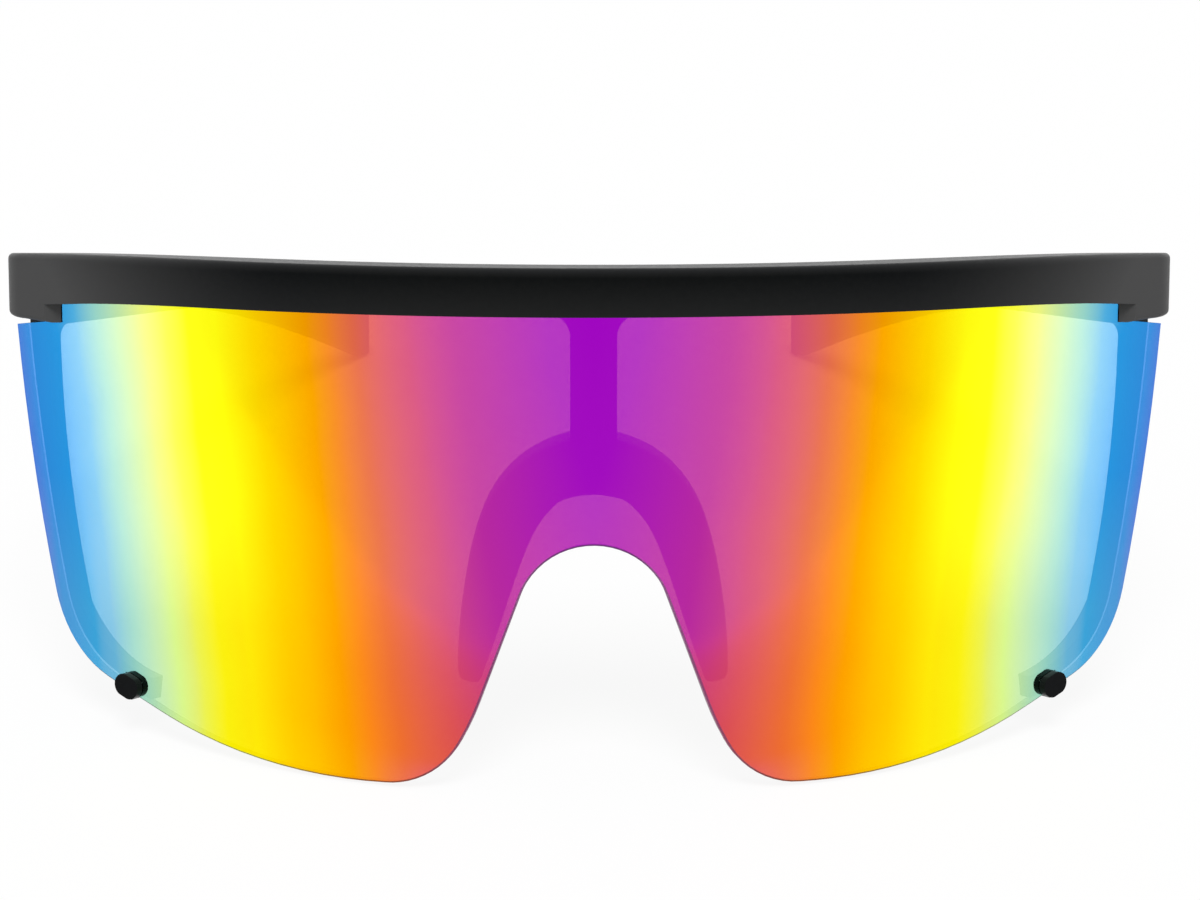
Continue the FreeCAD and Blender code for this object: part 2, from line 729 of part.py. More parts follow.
def make_temple(side, name):
    arm = doc.addObject("PartDesign::Body", f"{name}_temple_arm")
    sections = []
    for index in range(temple_steps + 1):
        depth, outer, low, high = temple_section(index / temple_steps)
        inner = outer - size["temple_thickness"] if index > 0 else inner_face
        corner = size["temple_round"] if index > 0 else size["brow_round"]
        outline = handed(soft_rectangle(inner, outer, low, high, corner), side)
        sections.append(body_sketch(arm, f"{name}_temple_section_{index}", "front", outline, -depth))
    # The last section again, drawn in all round, for the bevelled end
    bevel = size["temple_tip_bevel"]
    end_corner = corner * tip_corner_share
    outline = soft_rectangle(inner + bevel, outer - bevel, low + bevel, high - bevel, end_corner)
    end = body_sketch(arm, f"{name}_temple_end", "front", handed(outline, side), -depth - bevel)
    lofts = (("arm_loft", sections[0], sections[1:]), ("end_loft", sections[-1], [end]))
    for feature, profile, others in lofts:
        loft = arm.newObject("PartDesign::AdditiveLoft", f"{name}_temple_{feature}")
        loft.Profile = profile
        loft.Sections = others
        loft.Ruled = True
        arm.Tip = loft
    tools = [leaf_pocket(f"{name}_temple_pocket", side, butt_place,
                         size["temple_gap"] + size["leaf_reach"] + size["fit_gap"]),
             barrel_room(f"{name}_temple_relief", side)]
    return cut(f"{name}_temple", arm, tools)


def make_leaf(side, name, on_temple):
    # A plate let into the plastic, and knuckles round the screw: two on the front, one on the temple
    knuckle = (size["hinge_height"] - 2 * size["barrel_gap"]) / 3
    if on_temple:
        levels = [1]
        web_start, web_end = temple_front, butt_place + size["leaf_start"]
        plate_start, plate_end = web_end, temple_front + size["leaf_reach"]
    else:
        levels = [0, 2]
        web_start, web_end = butt_place - size["leaf_start"], butt_place
        plate_start, plate_end = butt_place - size["leaf_reach"], web_start
    pieces = [handed_block(f"{name}_plate", side, (inner_face, plate_start, hinge_low),
                           (size["leaf_thickness"], plate_end - plate_start, size["hinge_height"]))]
    web_width = size["hinge_inset"] + size["leaf_thickness"]
    for level in levels:
        low = hinge_low + (knuckle + size["barrel_gap"]) * level
        pieces.append(upright(f"{name}_knuckle_{level}", side, (hinge_axis, butt_place, low),
                              size["barrel_radius"], knuckle))
        pieces.append(handed_block(f"{name}_web_{level}", side, (hinge_axis, web_start, low),
                                   (web_width, web_end - web_start, knuckle)))
    bore_length = size["hinge_height"] + 2 * size["cut_overrun"]
    bore = upright(f"{name}_bore", side, (hinge_axis, butt_place, hinge_low - size["cut_overrun"]),
                   size["screw_radius"] + size["screw_clearance"], bore_length)
    return cut(name, fused(f"{name}_solid", pieces), [bore])


def make_screw(side, name):
    body = doc.addObject("PartDesign::Body", name)
    axis, depth = side * hinge_axis, butt_place
    top = hinge_low + size["hinge_height"]
    shank = body_sketch(body, f"{name}_shank_circle", "plan", None, hinge_low)
    draw_circle(shank, axis, depth, size["screw_radius"])
    head = body_sketch(body, f"{name}_head_circle", "plan", None, top)
    draw_circle(head, axis, depth, size["screw_head_radius"])
    slot_half = size["screw_slot_width"] / 2
    slot_reach = size["screw_head_radius"] + size["cut_overrun"]
    slot = body_sketch(body, f"{name}_slot_outline", "plan", [
        (axis - slot_half, depth - slot_reach, 0), (axis + slot_half, depth - slot_reach, 0),
        (axis + slot_half, depth + slot_reach, 0), (axis - slot_half, depth + slot_reach, 0)],
        top + size["screw_head_height"])
    for kind, feature, sketch, length in (("Pad", "shank", shank, size["hinge_height"]),
                                          ("Pad", "head", head, size["screw_head_height"]),
                                          ("Pocket", "slot", slot, size["screw_slot_depth"])):
        step = body.newObject(f"PartDesign::{kind}", f"{name}_{feature}")
        step.Profile = sketch
        bind(step, "Length", length)
        body.Tip = step
    return body


def recompute_and_check(pieces):
    doc.recompute()
    failed = [thing.Label for thing in doc.Objects if {"Invalid", "Error"} & set(thing.State)]
    if failed:
        raise RuntimeError(f"not built: {failed}")
    for piece in pieces:
        if piece.Shape.isNull() or not piece.Shape.isValid() or len(piece.Shape.Solids) != 1:
            raise RuntimeError(f"bad shape: {piece.Label}")


parts = [make_front_frame(), make_lens(), make_saddle()]
for side, hand in ((1, "left"), (-1, "right")):
    parts.append(make_temple(side, hand))
    parts.append(make_leaf(side, f"{hand}_hinge_front_leaf", False))
    parts.append(make_leaf(side, f"{hand}_hinge_temple_leaf", True))
    parts.append(make_screw(side, f"{hand}_hinge_screw"))
recompute_and_check(parts)

# The glasses lean back on the lens's lobes and the temple tips, with the middle of their
# footprint at the origin
lean = FreeCAD.Rotation(Vector(1, 0, 0), -size["rest_tilt"].value)
for piece in parts:
    piece.Placement = FreeCAD.Placement(Vector(), lean)
    piece.setExpression("Placement.Rotation.Angle", (-size["rest_tilt"]).formula)
doc.recompute()
whole = FreeCAD.BoundBox()
for piece in parts:
    whole.add(piece.Shape.optimalBoundingBox(False, False))
stand = Vector(0, -whole.Center.y, -whole.ZMin)
for piece in parts:
    piece.Placement = FreeCAD.Placement(stand, piece.Placement.Rotation)
recompute_and_check(parts)

for piece in parts:
    piece.Shape.exportStep(f"parts/{piece.Label}.step")
    print(piece.Label, len(piece.Shape.Solids), round(piece.Shape.Volume, 2))
print("stand", stand, "box", whole)
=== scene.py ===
import bpy
import json
import math
from mathutils import Matrix, Vector


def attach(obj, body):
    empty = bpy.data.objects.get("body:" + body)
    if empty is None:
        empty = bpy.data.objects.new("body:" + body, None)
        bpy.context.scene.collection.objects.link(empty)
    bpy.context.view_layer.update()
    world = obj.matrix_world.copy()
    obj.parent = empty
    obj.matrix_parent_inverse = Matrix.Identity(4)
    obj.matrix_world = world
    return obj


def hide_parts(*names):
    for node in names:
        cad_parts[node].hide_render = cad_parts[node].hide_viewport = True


# Shield sunglasses on a white table: rainbow mirror lens in a satin black half frame,
# soft nose saddle, folding temples on steel screw hinges. Lengths in metres.

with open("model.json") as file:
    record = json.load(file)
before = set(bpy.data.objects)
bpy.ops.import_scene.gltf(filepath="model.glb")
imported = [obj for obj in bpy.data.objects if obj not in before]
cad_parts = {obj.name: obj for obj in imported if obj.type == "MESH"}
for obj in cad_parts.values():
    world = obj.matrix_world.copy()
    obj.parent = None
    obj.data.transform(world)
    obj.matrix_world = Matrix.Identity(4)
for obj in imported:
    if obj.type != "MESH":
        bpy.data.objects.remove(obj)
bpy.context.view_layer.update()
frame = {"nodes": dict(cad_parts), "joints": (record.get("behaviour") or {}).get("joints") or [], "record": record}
nodes = frame["nodes"]
scene = bpy.context.scene
scene.view_settings.view_transform = "Standard"
print("frame loaded:", len(nodes), "CAD nodes")

# The front leans back on the table. Its own upright frame has x across, y back from the lens's
# foremost line and z up from the lens's lowest edge, and hangs from the left hinge.
front = {"hinge": "left_temple_fold", "hingeDepth": 0.040, "hingeHeight": 0.0595}
hinge = next(joint for joint in frame["joints"] if joint["name"] == front["hinge"])
hingePlace = Vector(hinge["pos_m"])
restTilt = math.atan2(hinge["axis"][1], hinge["axis"][2])
lean = Matrix.Rotation(-restTilt, 4, "X")
frontOrigin = hingePlace - lean @ Vector((hingePlace.x, front["hingeDepth"], front["hingeHeight"]))
frontPlace = Matrix.Translation(frontOrigin) @ lean
frontUp = lean.to_3x3() @ Vector((0.0, 0.0, 1.0))

white = (1.0, 1.0, 1.0, 1.0)
noiseRange = (0.3, 0.7)      # where most of a noise texture's values lie


# small helpers for node trees

def newMaterial(name):
    material = bpy.data.materials.new(name)
    material.use_nodes = True
    tree = material.node_tree
    tree.nodes.clear()
    output = tree.nodes.new("ShaderNodeOutputMaterial")
    return material, tree, output.inputs["Surface"]


def feed(tree, socket, value):
    if isinstance(value, bpy.types.NodeSocket):
        tree.links.new(value, socket)
    else:
        socket.default_value = value


def calc(tree, operation, first, second=0.0):
    node = tree.nodes.new("ShaderNodeMath")
    node.operation = operation
    feed(tree, node.inputs[0], first)
    feed(tree, node.inputs[1], second)
    return node.outputs[0]


def vectorCalc(tree, operation, first, second):
    node = tree.nodes.new("ShaderNodeVectorMath")
    node.operation = operation
    feed(tree, node.inputs[0], first)
    feed(tree, node.inputs[1], second)
    return node.outputs["Value" if operation == "DOT_PRODUCT" else "Vector"]


def objectPlace(tree, scale=(1, 1, 1)):
    place = tree.nodes.new("ShaderNodeTexCoord")
    mapping = tree.nodes.new("ShaderNodeMapping")
    mapping.inputs["Scale"].default_value = scale
    tree.links.new(place.outputs["Object"], mapping.inputs["Vector"])
    return mapping.outputs["Vector"]


def upright(tree, vector, origin=(0.0, 0.0, 0.0)):
    # turns a place or a normal into the front's own upright frame
    mapping = tree.nodes.new("ShaderNodeMapping")
    mapping.vector_type = "TEXTURE"
    mapping.inputs["Location"].default_value = origin
    mapping.inputs["Rotation"].default_value = (-restTilt, 0.0, 0.0)
    tree.links.new(vector, mapping.inputs["Vector"])
    return mapping.outputs["Vector"]


def splitUp(tree, vector):
    node = tree.nodes.new("ShaderNodeSeparateXYZ")
    tree.links.new(vector, node.inputs["Vector"])
    return tuple(node.outputs)


def noise(tree, place, scale, detail=3.0):
    node = tree.nodes.new("ShaderNodeTexNoise")
    tree.links.new(place, node.inputs["Vector"])
    node.inputs["Scale"].default_value = scale
    node.inputs["Detail"].default_value = detail
    node.inputs["Roughness"].default_value = 0.55    # how strong the finer waves are
    return node.outputs["Fac"]


def spread(tree, value, results, inputs=noiseRange, curve="LINEAR"):
    node = tree.nodes.new("ShaderNodeMapRange")
    node.interpolation_type = curve
    feed(tree, node.inputs["Value"], value)
    for name, pair in (("From", inputs), ("To", results)):
        for end, number in zip(("Min", "Max"), pair):
            node.inputs[name + " " + end].default_value = number
    return node.outputs["Result"]


def colourAlong(tree, value, stops):
    low, high = stops[0][0], stops[-1][0]
    node = tree.nodes.new("ShaderNodeValToRGB")
    feed(tree, node.inputs["Fac"], spread(tree, value, (0.0, 1.0), (low, high)))
    elements = node.color_ramp.elements
    while len(elements) < len(stops):
        elements.new(1.0)
    for element, (position, colour) in zip(elements, stops):
        element.position = (position - low) / (high - low)
        element.color = (*colour, 1.0)
    return node.outputs["Color"]


def bump(tree, height, strength, distance):
    node = tree.nodes.new("ShaderNodeBump")
    node.inputs["Strength"].default_value = strength
    node.inputs["Distance"].default_value = distance
    tree.links.new(height, node.inputs["Height"])
    return node.outputs["Normal"]


def principled(tree, **sockets):
    node = tree.nodes.new("ShaderNodeBsdfPrincipled")
    for name, value in sockets.items():
        feed(tree, node.inputs[name.replace("_", " ")], value)
    return node.outputs["BSDF"]


def seeThrough(tree, colour):
    node = tree.nodes.new("ShaderNodeBsdfTransparent")
    feed(tree, node.inputs["Color"], colour)
    return node.outputs["BSDF"]


def blended(tree, share, first, second):
    node = tree.nodes.new("ShaderNodeMix")
    node.data_type = "RGBA"
    for number, value in ((0, share), (6, first), (7, second)):    # colour sockets, by their number
        feed(tree, node.inputs[number], value)
    return node.outputs[2]


def mixed(tree, share, first, second):
    node = tree.nodes.new("ShaderNodeMixShader")
    feed(tree, node.inputs[0], share)
    tree.links.new(first, node.inputs[1])
    tree.links.new(second, node.inputs[2])
    return node.outputs[0]


# Rainbow mirror lens: the coat's colours run in ovals from violet at the middle to blue at the ends.
# Distances are measured along the lens from the middle of its top edge, heights from its lowest edge.
mirrorLens = {
    "radius": 0.106,
    "thickness": 0.002,
    "browBottom": 0.059,
    "dropShare": 0.36,       # how much slower the colours change downwards than sideways
    "dropEase": 2.5,         # by how much that share falls per metre further down
    "ovalPower": 1.45,       # 2 is a true oval, 1 a diamond
    "endShare": 0.21,        # how far the colours lean inwards below the ends
    "endPower": 4.0,         # how late that sets in on the way to the ends
    "endReach": 0.090,       # where it is full
    "wander": (-0.0005, 0.0005),         # how far the colours stray from their ovals
    "wanderScale": 40.0,
    "coat": [                # distance from the middle, reflected colour
        (0.000, (0.35, 0.002, 0.53)),     # violet
        (0.006, (0.36, 0.004, 0.52)),
        (0.0175, (0.47, 0.022, 0.345)),   # magenta
        (0.0235, (0.605, 0.063, 0.208)),  # rose
        (0.030, (0.723, 0.132, 0.064)),   # coral
        (0.0335, (0.83, 0.22, 0.015)),
        (0.0365, (0.84, 0.31, 0.0)),      # orange
        (0.0435, (0.89, 0.56, 0.0)),      # amber
        (0.049, (0.89, 0.85, 0.0)),       # yellow
        (0.0533, (0.89, 0.89, 0.0)),
        (0.0568, (0.86, 0.88, 0.05)),     # lemon
        (0.0604, (0.75, 0.82, 0.19)),
        (0.0641, (0.47, 0.70, 0.35)),     # pale green
        (0.0679, (0.28, 0.59, 0.51)),     # aqua
        (0.0719, (0.07, 0.38, 0.66)),     # sky
        (0.0755, (0.014, 0.28, 0.67)),    # blue
        (0.0820, (0.02, 0.23, 0.63)),
        (0.0870, (0.08, 0.13, 0.57)),     # deep blue
    ],
    "low": [                 # distance from the middle, how much of that colour is left low on the lens
        (0.0405, (1.0, 1.0, 1.0)), (0.0445, (1.0, 0.89, 1.0)), (0.050, (0.97, 0.81, 0.8)),
        (0.054, (0.94, 0.855, 0.5)), (0.058, (0.79, 0.86, 1.2)), (0.0604, (0.75, 0.95, 1.05)),
        (0.0637, (0.83, 0.92, 1.0)), (0.0685, (0.92, 0.94, 0.90)), (0.0705, (1.1, 1.0, 0.91)),
        (0.0745, (2.7, 1.18, 0.93)),
    ],
    "lowHeights": (0.0185, 0.036),       # full up to the first, gone from the second
    "tint": [                # distance from the middle, colour of what shows through
        (0.000, (0.11, 0.035, 0.02)), (0.025, (0.12, 0.05, 0.03)), (0.0335, (0.13, 0.06, 0.01)),
        (0.0365, (0.14, 0.08, 0.0)), (0.0435, (0.10, 0.10, 0.0)), (0.0533, (0.10, 0.10, 0.01)),
        (0.0604, (0.17, 0.16, 0.10)), (0.0641, (0.26, 0.26, 0.18)), (0.0719, (0.22, 0.26, 0.25)),
        (0.0755, (0.19, 0.26, 0.26)), (0.080, (0.08, 0.10, 0.17)), (0.087, (0.05, 0.045, 0.12)),
    ],
    "smearScale": 90.0,
    "mirrorRoughness": (0.03, 0.08),
    "smoke": (0.30, 0.31, 0.29, 1.0),    # the lens seen from the wearer's side
    "insideColour": (0.02, 0.018, 0.018, 1.0),
    "insideRoughness": (0.04, 0.1),
    "insideClear": 0.93,     # how much passes the inside's gloss
    "rimShare": 0.45,        # how bright the cut edge is beside the face
    "rimRoughness": (0.3, 0.45),
    "rimSpecular": 0.05,
    "rimClear": 0.1,
    "faceShare": 0.85,       # a face that points less squarely in or out than this is cut edge
}


def mirrorLensMaterial():
    look = mirrorLens
    material, tree, surface = newMaterial("rainbowMirrorLens")
    place = tree.nodes.new("ShaderNodeTexCoord")
    facing = tree.nodes.new("ShaderNodeNewGeometry")
    spot = upright(tree, place.outputs["Object"], frontOrigin)
    across, back, height = splitUp(tree, spot)
    normalAcross, normalBack = splitUp(tree, upright(tree, facing.outputs["True Normal"]))[:2]

    # distance from the middle, in ovals
    fromAxis = calc(tree, "SUBTRACT", look["radius"], back)
    turn = calc(tree, "ABSOLUTE", calc(tree, "ARCTAN2", across, fromAxis))
    along = calc(tree, "MULTIPLY", turn, look["radius"])
    drop = calc(tree, "MAXIMUM", calc(tree, "SUBTRACT", look["browBottom"], height), 0.0)
    eased = calc(tree, "SUBTRACT", look["dropShare"], calc(tree, "MULTIPLY", drop, look["dropEase"]))
    power = look["ovalPower"]
    powers = [calc(tree, "POWER", way, power) for way in (along, calc(tree, "MULTIPLY", drop, eased))]
    oval = calc(tree, "POWER", calc(tree, "ADD", *powers), 1 / power)
    atEnds = calc(tree, "POWER", calc(tree, "DIVIDE", along, look["endReach"]), look["endPower"])
    leaning = calc(tree, "MULTIPLY", calc(tree, "MULTIPLY", drop, atEnds), look["endShare"])
    wander = spread(tree, noise(tree, spot, look["wanderScale"], detail=2.0), look["wander"])
    distance = calc(tree, "ADD", calc(tree, "ADD", oval, leaning), wander)

    # outer face: the mirror takes the share of the coat's strongest colour, and the rest passes
    coat = look["coat"]
    mirrorShare = colourAlong(tree, distance, [(away, [max(colour)] * 3) for away, colour in coat])
    fullColours = [(away, [part / max(colour) for part in colour]) for away, colour in coat]
    low = blended(tree, spread(tree, height, (1.0, 0.0), look["lowHeights"]),
                  white, colourAlong(tree, distance, look["low"]))
    mirrorColour = vectorCalc(tree, "MULTIPLY", colourAlong(tree, distance, fullColours), low)
    passing = calc(tree, "SUBTRACT", 1.0, mirrorShare)
    tintColour = vectorCalc(tree, "DIVIDE", colourAlong(tree, distance, look["tint"]), passing)
    smear = noise(tree, spot, look["smearScale"], detail=4.0)
    mirror = principled(tree, Base_Color=mirrorColour, Metallic=1.0,
                        Roughness=spread(tree, smear, look["mirrorRoughness"]))
    coated = mixed(tree, mirrorShare, seeThrough(tree, tintColour), mirror)
    behind = facing.outputs["Backfacing"]
    smoke = seeThrough(tree, look["smoke"])
    outerFace = mixed(tree, behind, coated, smoke)

    # inner face and cut edge
    clear = seeThrough(tree, white)
    gloss = principled(tree, Base_Color=look["insideColour"],
                       Roughness=spread(tree, smear, look["insideRoughness"]))
    innerFace = mixed(tree, behind, mixed(tree, look["insideClear"], gloss, clear), clear)
    rimColours = [(away, [look["rimShare"] * part for part in colour]) for away, colour in coat]
    rim = principled(tree, Base_Color=colourAlong(tree, distance, rimColours),
                     Roughness=spread(tree, smear, look["rimRoughness"]),
                     Specular_IOR_Level=look["rimSpecular"])
    rim = mixed(tree, behind, mixed(tree, look["rimClear"], rim, clear), smoke)

    # which of the three a spot is on
    squares = [calc(tree, "MULTIPLY", side, side) for side in (across, fromAxis)]
    radiusHere = calc(tree, "SQRT", calc(tree, "ADD", *squares))
    outward = calc(tree, "SUBTRACT", calc(tree, "MULTIPLY", normalAcross, across),
                   calc(tree, "MULTIPLY", normalBack, fromAxis))
    squarely = calc(tree, "ABSOLUTE", calc(tree, "DIVIDE", outward, radiusHere))
    onOuter = calc(tree, "GREATER_THAN", radiusHere, look["radius"] - look["thickness"] / 2)
    onFace = calc(tree, "GREATER_THAN", squarely, look["faceShare"])
    tree.links.new(mixed(tree, onFace, rim, mixed(tree, onOuter, innerFace, outerFace)), surface)
    return material


# Satin black moulding of the front and the temples, deep black in the middle, with painted sheen that greys it
# towards the ends and painted highlights along its height
satinBlack = {
    "middle": (0.0002, 0.0008, 0.0014),
    # colour of the painted sheen where it is full
    "ends": (0.062, 0.062, 0.0625),
    "paintedSheenAcross": (0.036, 0.071),        # distances from the middle plane between which the painted sheen sets in
    "greyHeights": (0.035, 0.050),       # heights up the front between which it sets in
    "templeShare": 0.25,     # how much of that painted sheen the temples keep
    "templeFade": (-0.052, -0.015),      # places along y between which it fades to that
    "paintedSheenByHeight": [               # height up the front, how much painted sheen lies there everywhere: painted highlights on the hooks' lower part and along the top edge, and a lighter lower front
        (0.0040, 0.35), (0.0060, 0.04), (0.010, 0.04), (0.018, 0.17),
        (0.0590, 0.17), (0.0638, 0.02), (0.0648, 0.22),
    ],
    "speckle": (0.0, 0.02),
    "speckleScale": 1400.0,
    "roughness": (0.38, 0.46),
    "specular": 0.05,
    "hookGloss": 0.4,        # share of the roughness on the hooks that hold the lens
    "hookHeights": (0.016, 0.020),       # where that ends
    "grainScale": 4200.0,
    "grainStrength": 0.2,
    "grainDepth": 0.00003,
}


def satinBlackMaterial():
    look = satinBlack
    material, tree, surface = newMaterial("satinBlackMoulding")
    place = objectPlace(tree)
    across, back = splitUp(tree, place)[:2]
    height = calc(tree, "SUBTRACT", vectorCalc(tree, "DOT_PRODUCT", place, frontUp), frontOrigin.dot(frontUp))
    speckle = noise(tree, place, look["speckleScale"])
    # painted sheen: the base colour is lighter towards the ends and up the front, standing in for light shining on
    # the moulding
    ends = spread(tree, calc(tree, "ABSOLUTE", across), (0.0, 1.0), look["paintedSheenAcross"])
    kept = calc(tree, "MULTIPLY", spread(tree, back, (1.0, look["templeShare"]), look["templeFade"]),
                spread(tree, height, (0.0, 1.0), look["greyHeights"]))
    grey = calc(tree, "MULTIPLY", calc(tree, "MULTIPLY", ends, ends), kept)
    # painted highlights and sheen by height, added to the painted sheen at the ends
    paintedSheenByHeight = colourAlong(tree, height, [(up, [share] * 3) for up, share in look["paintedSheenByHeight"]])
    grey = calc(tree, "ADD", calc(tree, "ADD", grey, paintedSheenByHeight), spread(tree, speckle, look["speckle"]))
    colour = colourAlong(tree, grey, [(0.0, look["middle"]), (1.0, look["ends"])])
    gloss = spread(tree, height, (look["hookGloss"], 1.0), look["hookHeights"])
    rough = calc(tree, "MULTIPLY", spread(tree, speckle, look["roughness"]), gloss)
    grain = noise(tree, place, look["grainScale"], detail=2.0)
    shader = principled(tree, Base_Color=colour, Roughness=rough, Specular_IOR_Level=look["specular"],
                        Normal=bump(tree, grain, look["grainStrength"], look["grainDepth"]))
    tree.links.new(shader, surface)
    return material


# Soft matt rubber of the nose saddle
saddleRubber = {
    "dark": (0.016, 0.016, 0.017),
    "light": (0.03, 0.03, 0.031),
    "cloudScale": 220.0,
    "cloud": (0.3, 0.7),     # noise values of dark and light
    "roughness": (0.62, 0.8),
    "specular": 0.3,
    "grainScale": 3200.0,
    "grainStrength": 0.3,
    "grainDepth": 0.00004,
}


def saddleRubberMaterial():
    look = saddleRubber
    material, tree, surface = newMaterial("softSaddleRubber")
    place = objectPlace(tree)
    cloud = noise(tree, place, look["cloudScale"], detail=4.0)
    grain = noise(tree, place, look["grainScale"])
    colour = colourAlong(tree, cloud, list(zip(look["cloud"], (look["dark"], look["light"]))))
    shader = principled(tree, Base_Color=colour, Roughness=spread(tree, grain, look["roughness"]),
                        Specular_IOR_Level=look["specular"],
                        Normal=bump(tree, grain, look["grainStrength"], look["grainDepth"]))
    tree.links.new(shader, surface)
    return material


# Satin steel of the hinges, brushed along the leaves
hingeSteel = {
    "dark": (0.46, 0.46, 0.47),
    "light": (0.62, 0.62, 0.63),
    "brush": (900.0, 900.0, 9000.0),     # streaks per metre
    "streaks": (0.35, 0.65),             # noise values of dark and light
    "roughness": (0.26, 0.42),
    "streakStrength": 0.2,
    "streakDepth": 0.00002,
}


def hingeSteelMaterial():
    look = hingeSteel
    material, tree, surface = newMaterial("brushedHingeSteel")
    streaks = noise(tree, objectPlace(tree, look["brush"]), scale=1.0, detail=4.0)
    colour = colourAlong(tree, streaks, list(zip(look["streaks"], (look["dark"], look["light"]))))
    shader = principled(tree, Base_Color=colour, Metallic=1.0,
                        Roughness=spread(tree, streaks, look["roughness"]),
                        Normal=bump(tree, streaks, look["streakStrength"], look["streakDepth"]))
    tree.links.new(shader, surface)
    return material


finishes = {
    "frame_black": satinBlackMaterial(),
    "mirror_lens": mirrorLensMaterial(),
    "saddle_rubber": saddleRubberMaterial(),
    "hinge_steel": hingeSteelMaterial(),
}
slotOf = {part["node"]: part["material_slot"] for part in frame["record"]["subparts"]}
for name, node in nodes.items():
    node.data.materials.clear()
    node.data.materials.append(finishes[slotOf[name]])
print("finishes on the CAD nodes:", ", ".join(sorted(finishes)))


# Soft shading over the fine facets of the mouldings and the steel, crisp at their true edges
softShading = {"slots": ("frame_black", "hinge_steel"), "sharpAngle": 28.0, "weld": 1e-6}


def makeSoftShading():
    group = bpy.data.node_groups.new("softShading", "GeometryNodeTree")
    for way in ("INPUT", "OUTPUT"):
        group.interface.new_socket("Geometry", in_out=way, socket_type="NodeSocketGeometry")
    start = group.nodes.new("NodeGroupInput")
    weld = group.nodes.new("GeometryNodeMergeByDistance")
    weld.inputs["Distance"].default_value = softShading["weld"]
    angle = group.nodes.new("GeometryNodeInputMeshEdgeAngle")
    soft = group.nodes.new("FunctionNodeCompare")
    soft.operation = "LESS_THAN"
    soft.inputs["B"].default_value = math.radians(softShading["sharpAngle"])
    faces = group.nodes.new("GeometryNodeSetShadeSmooth")
    edges = group.nodes.new("GeometryNodeSetShadeSmooth")
    edges.domain = "EDGE"
    end = group.nodes.new("NodeGroupOutput")
    group.links.new(angle.outputs["Unsigned Angle"], soft.inputs["A"])
    group.links.new(soft.outputs["Result"], edges.inputs["Shade Smooth"])
    for before, after in ((start, weld), (weld, faces), (faces, edges), (edges, end)):
        group.links.new(before.outputs["Geometry"], after.inputs["Geometry"])
    return group


shading = makeSoftShading()
for name, node in nodes.items():
    if slotOf[name] in softShading["slots"]:
        node.modifiers.new("softShading", "NODES").node_group = shading
        even = node.modifiers.new("evenNormals", "WEIGHTED_NORMAL")
        even.keep_sharp = True
print("soft shading on the mouldings and hinges")


# Nose saddle: a soft arch, modelled upright as half an arch and mirrored
noseSaddle = {
    "node": "nose_saddle",
    "frontDepth": 0.0043,
    "thickness": 0.0083,     # front to back
    "edgeRound": 0.0009,
    "seam": 1e-5,            # what lies nearer to the middle plane is on it
    "stations": [            # outer x, outer z, inner x, inner z, in the front's upright frame
        (0.0, 0.0442, 0.0, 0.0363), (0.0077, 0.0421, 0.0041, 0.0354), (0.0126, 0.0372, 0.0069, 0.0324),
        (0.0149, 0.0312, 0.0086, 0.0285), (0.0162, 0.0245, 0.0105, 0.0229), (0.0169, 0.0183, 0.0124, 0.0170),
        (0.0170, 0.0144, 0.0137, 0.0136), (0.0169, 0.0127, 0.0140, 0.0121),
    ],
}


def turnSelected(angle, centre):
    # with no window transform.rotate turns the other way
    bpy.ops.transform.rotate(value=-angle, orient_axis="Y", orient_type="GLOBAL", center_override=centre)


def selectFaces(piece, wanted):
    bpy.ops.object.mode_set(mode="EDIT")
    bpy.ops.mesh.select_mode(type="FACE")
    bpy.ops.mesh.select_all(action="DESELECT")
    bpy.ops.object.mode_set(mode="OBJECT")
    for face in piece.data.polygons:
        face.select = wanted(face)
    bpy.ops.object.mode_set(mode="EDIT")


def applyModifier(piece, kind, **settings):
    modifier = piece.modifiers.new(kind.title(), kind)
    for name, value in settings.items():
        setattr(modifier, name, value)
    bpy.ops.object.modifier_apply(modifier=modifier.name)


def makeNoseSaddle():
    look = noseSaddle
    depth = look["thickness"]
    middle = look["frontDepth"] + depth / 2
    bpy.ops.object.select_all(action="DESELECT")
    bpy.ops.mesh.primitive_plane_add(size=1.0)
    saddle = bpy.context.object
    saddle.name = "noseSaddle"
    bpy.ops.object.mode_set(mode="EDIT")
    centreBefore, wideBefore, turnBefore = Vector(), None, 0.0
    for outerX, outerZ, innerX, innerZ in look["stations"]:
        centre = Vector(((outerX + innerX) / 2, middle, (outerZ + innerZ) / 2))
        wide = math.hypot(outerX - innerX, outerZ - innerZ)
        turn = -math.atan2(outerZ - innerZ, outerX - innerX)
        if wideBefore is None:
            bpy.ops.transform.resize(value=(wide, depth, 1.0))
            bpy.ops.transform.translate(value=centre)
        else:
            bpy.ops.mesh.extrude_region_move(TRANSFORM_OT_translate={"value": centre - centreBefore})
            turnSelected(-turnBefore, centre)
            bpy.ops.transform.resize(value=(wide / wideBefore, 1.0, 1.0), center_override=centre)
        turnSelected(turn, centre)
        centreBefore, wideBefore, turnBefore = centre, wide, turn
    selectFaces(saddle, lambda face: abs(face.center.x) < look["seam"])
    bpy.ops.mesh.delete(type="ONLY_FACE")
    bpy.ops.mesh.select_all(action="SELECT")
    bpy.ops.mesh.normals_make_consistent(inside=False)
    bpy.ops.object.mode_set(mode="OBJECT")
    applyModifier(saddle, "MIRROR", use_clip=True, merge_threshold=look["seam"])
    applyModifier(saddle, "BEVEL", width=look["edgeRound"], segments=2, limit_method="ANGLE")
    applyModifier(saddle, "SUBSURF", levels=2, render_levels=2)
    bpy.ops.object.shade_smooth()
    saddle.matrix_world = frontPlace
    bpy.ops.object.transform_apply(location=True, rotation=True, scale=True)
    saddle.data.materials.append(finishes["saddle_rubber"])
    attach(saddle, "front")
    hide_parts(look["node"])


makeNoseSaddle()
print("nose saddle modelled")


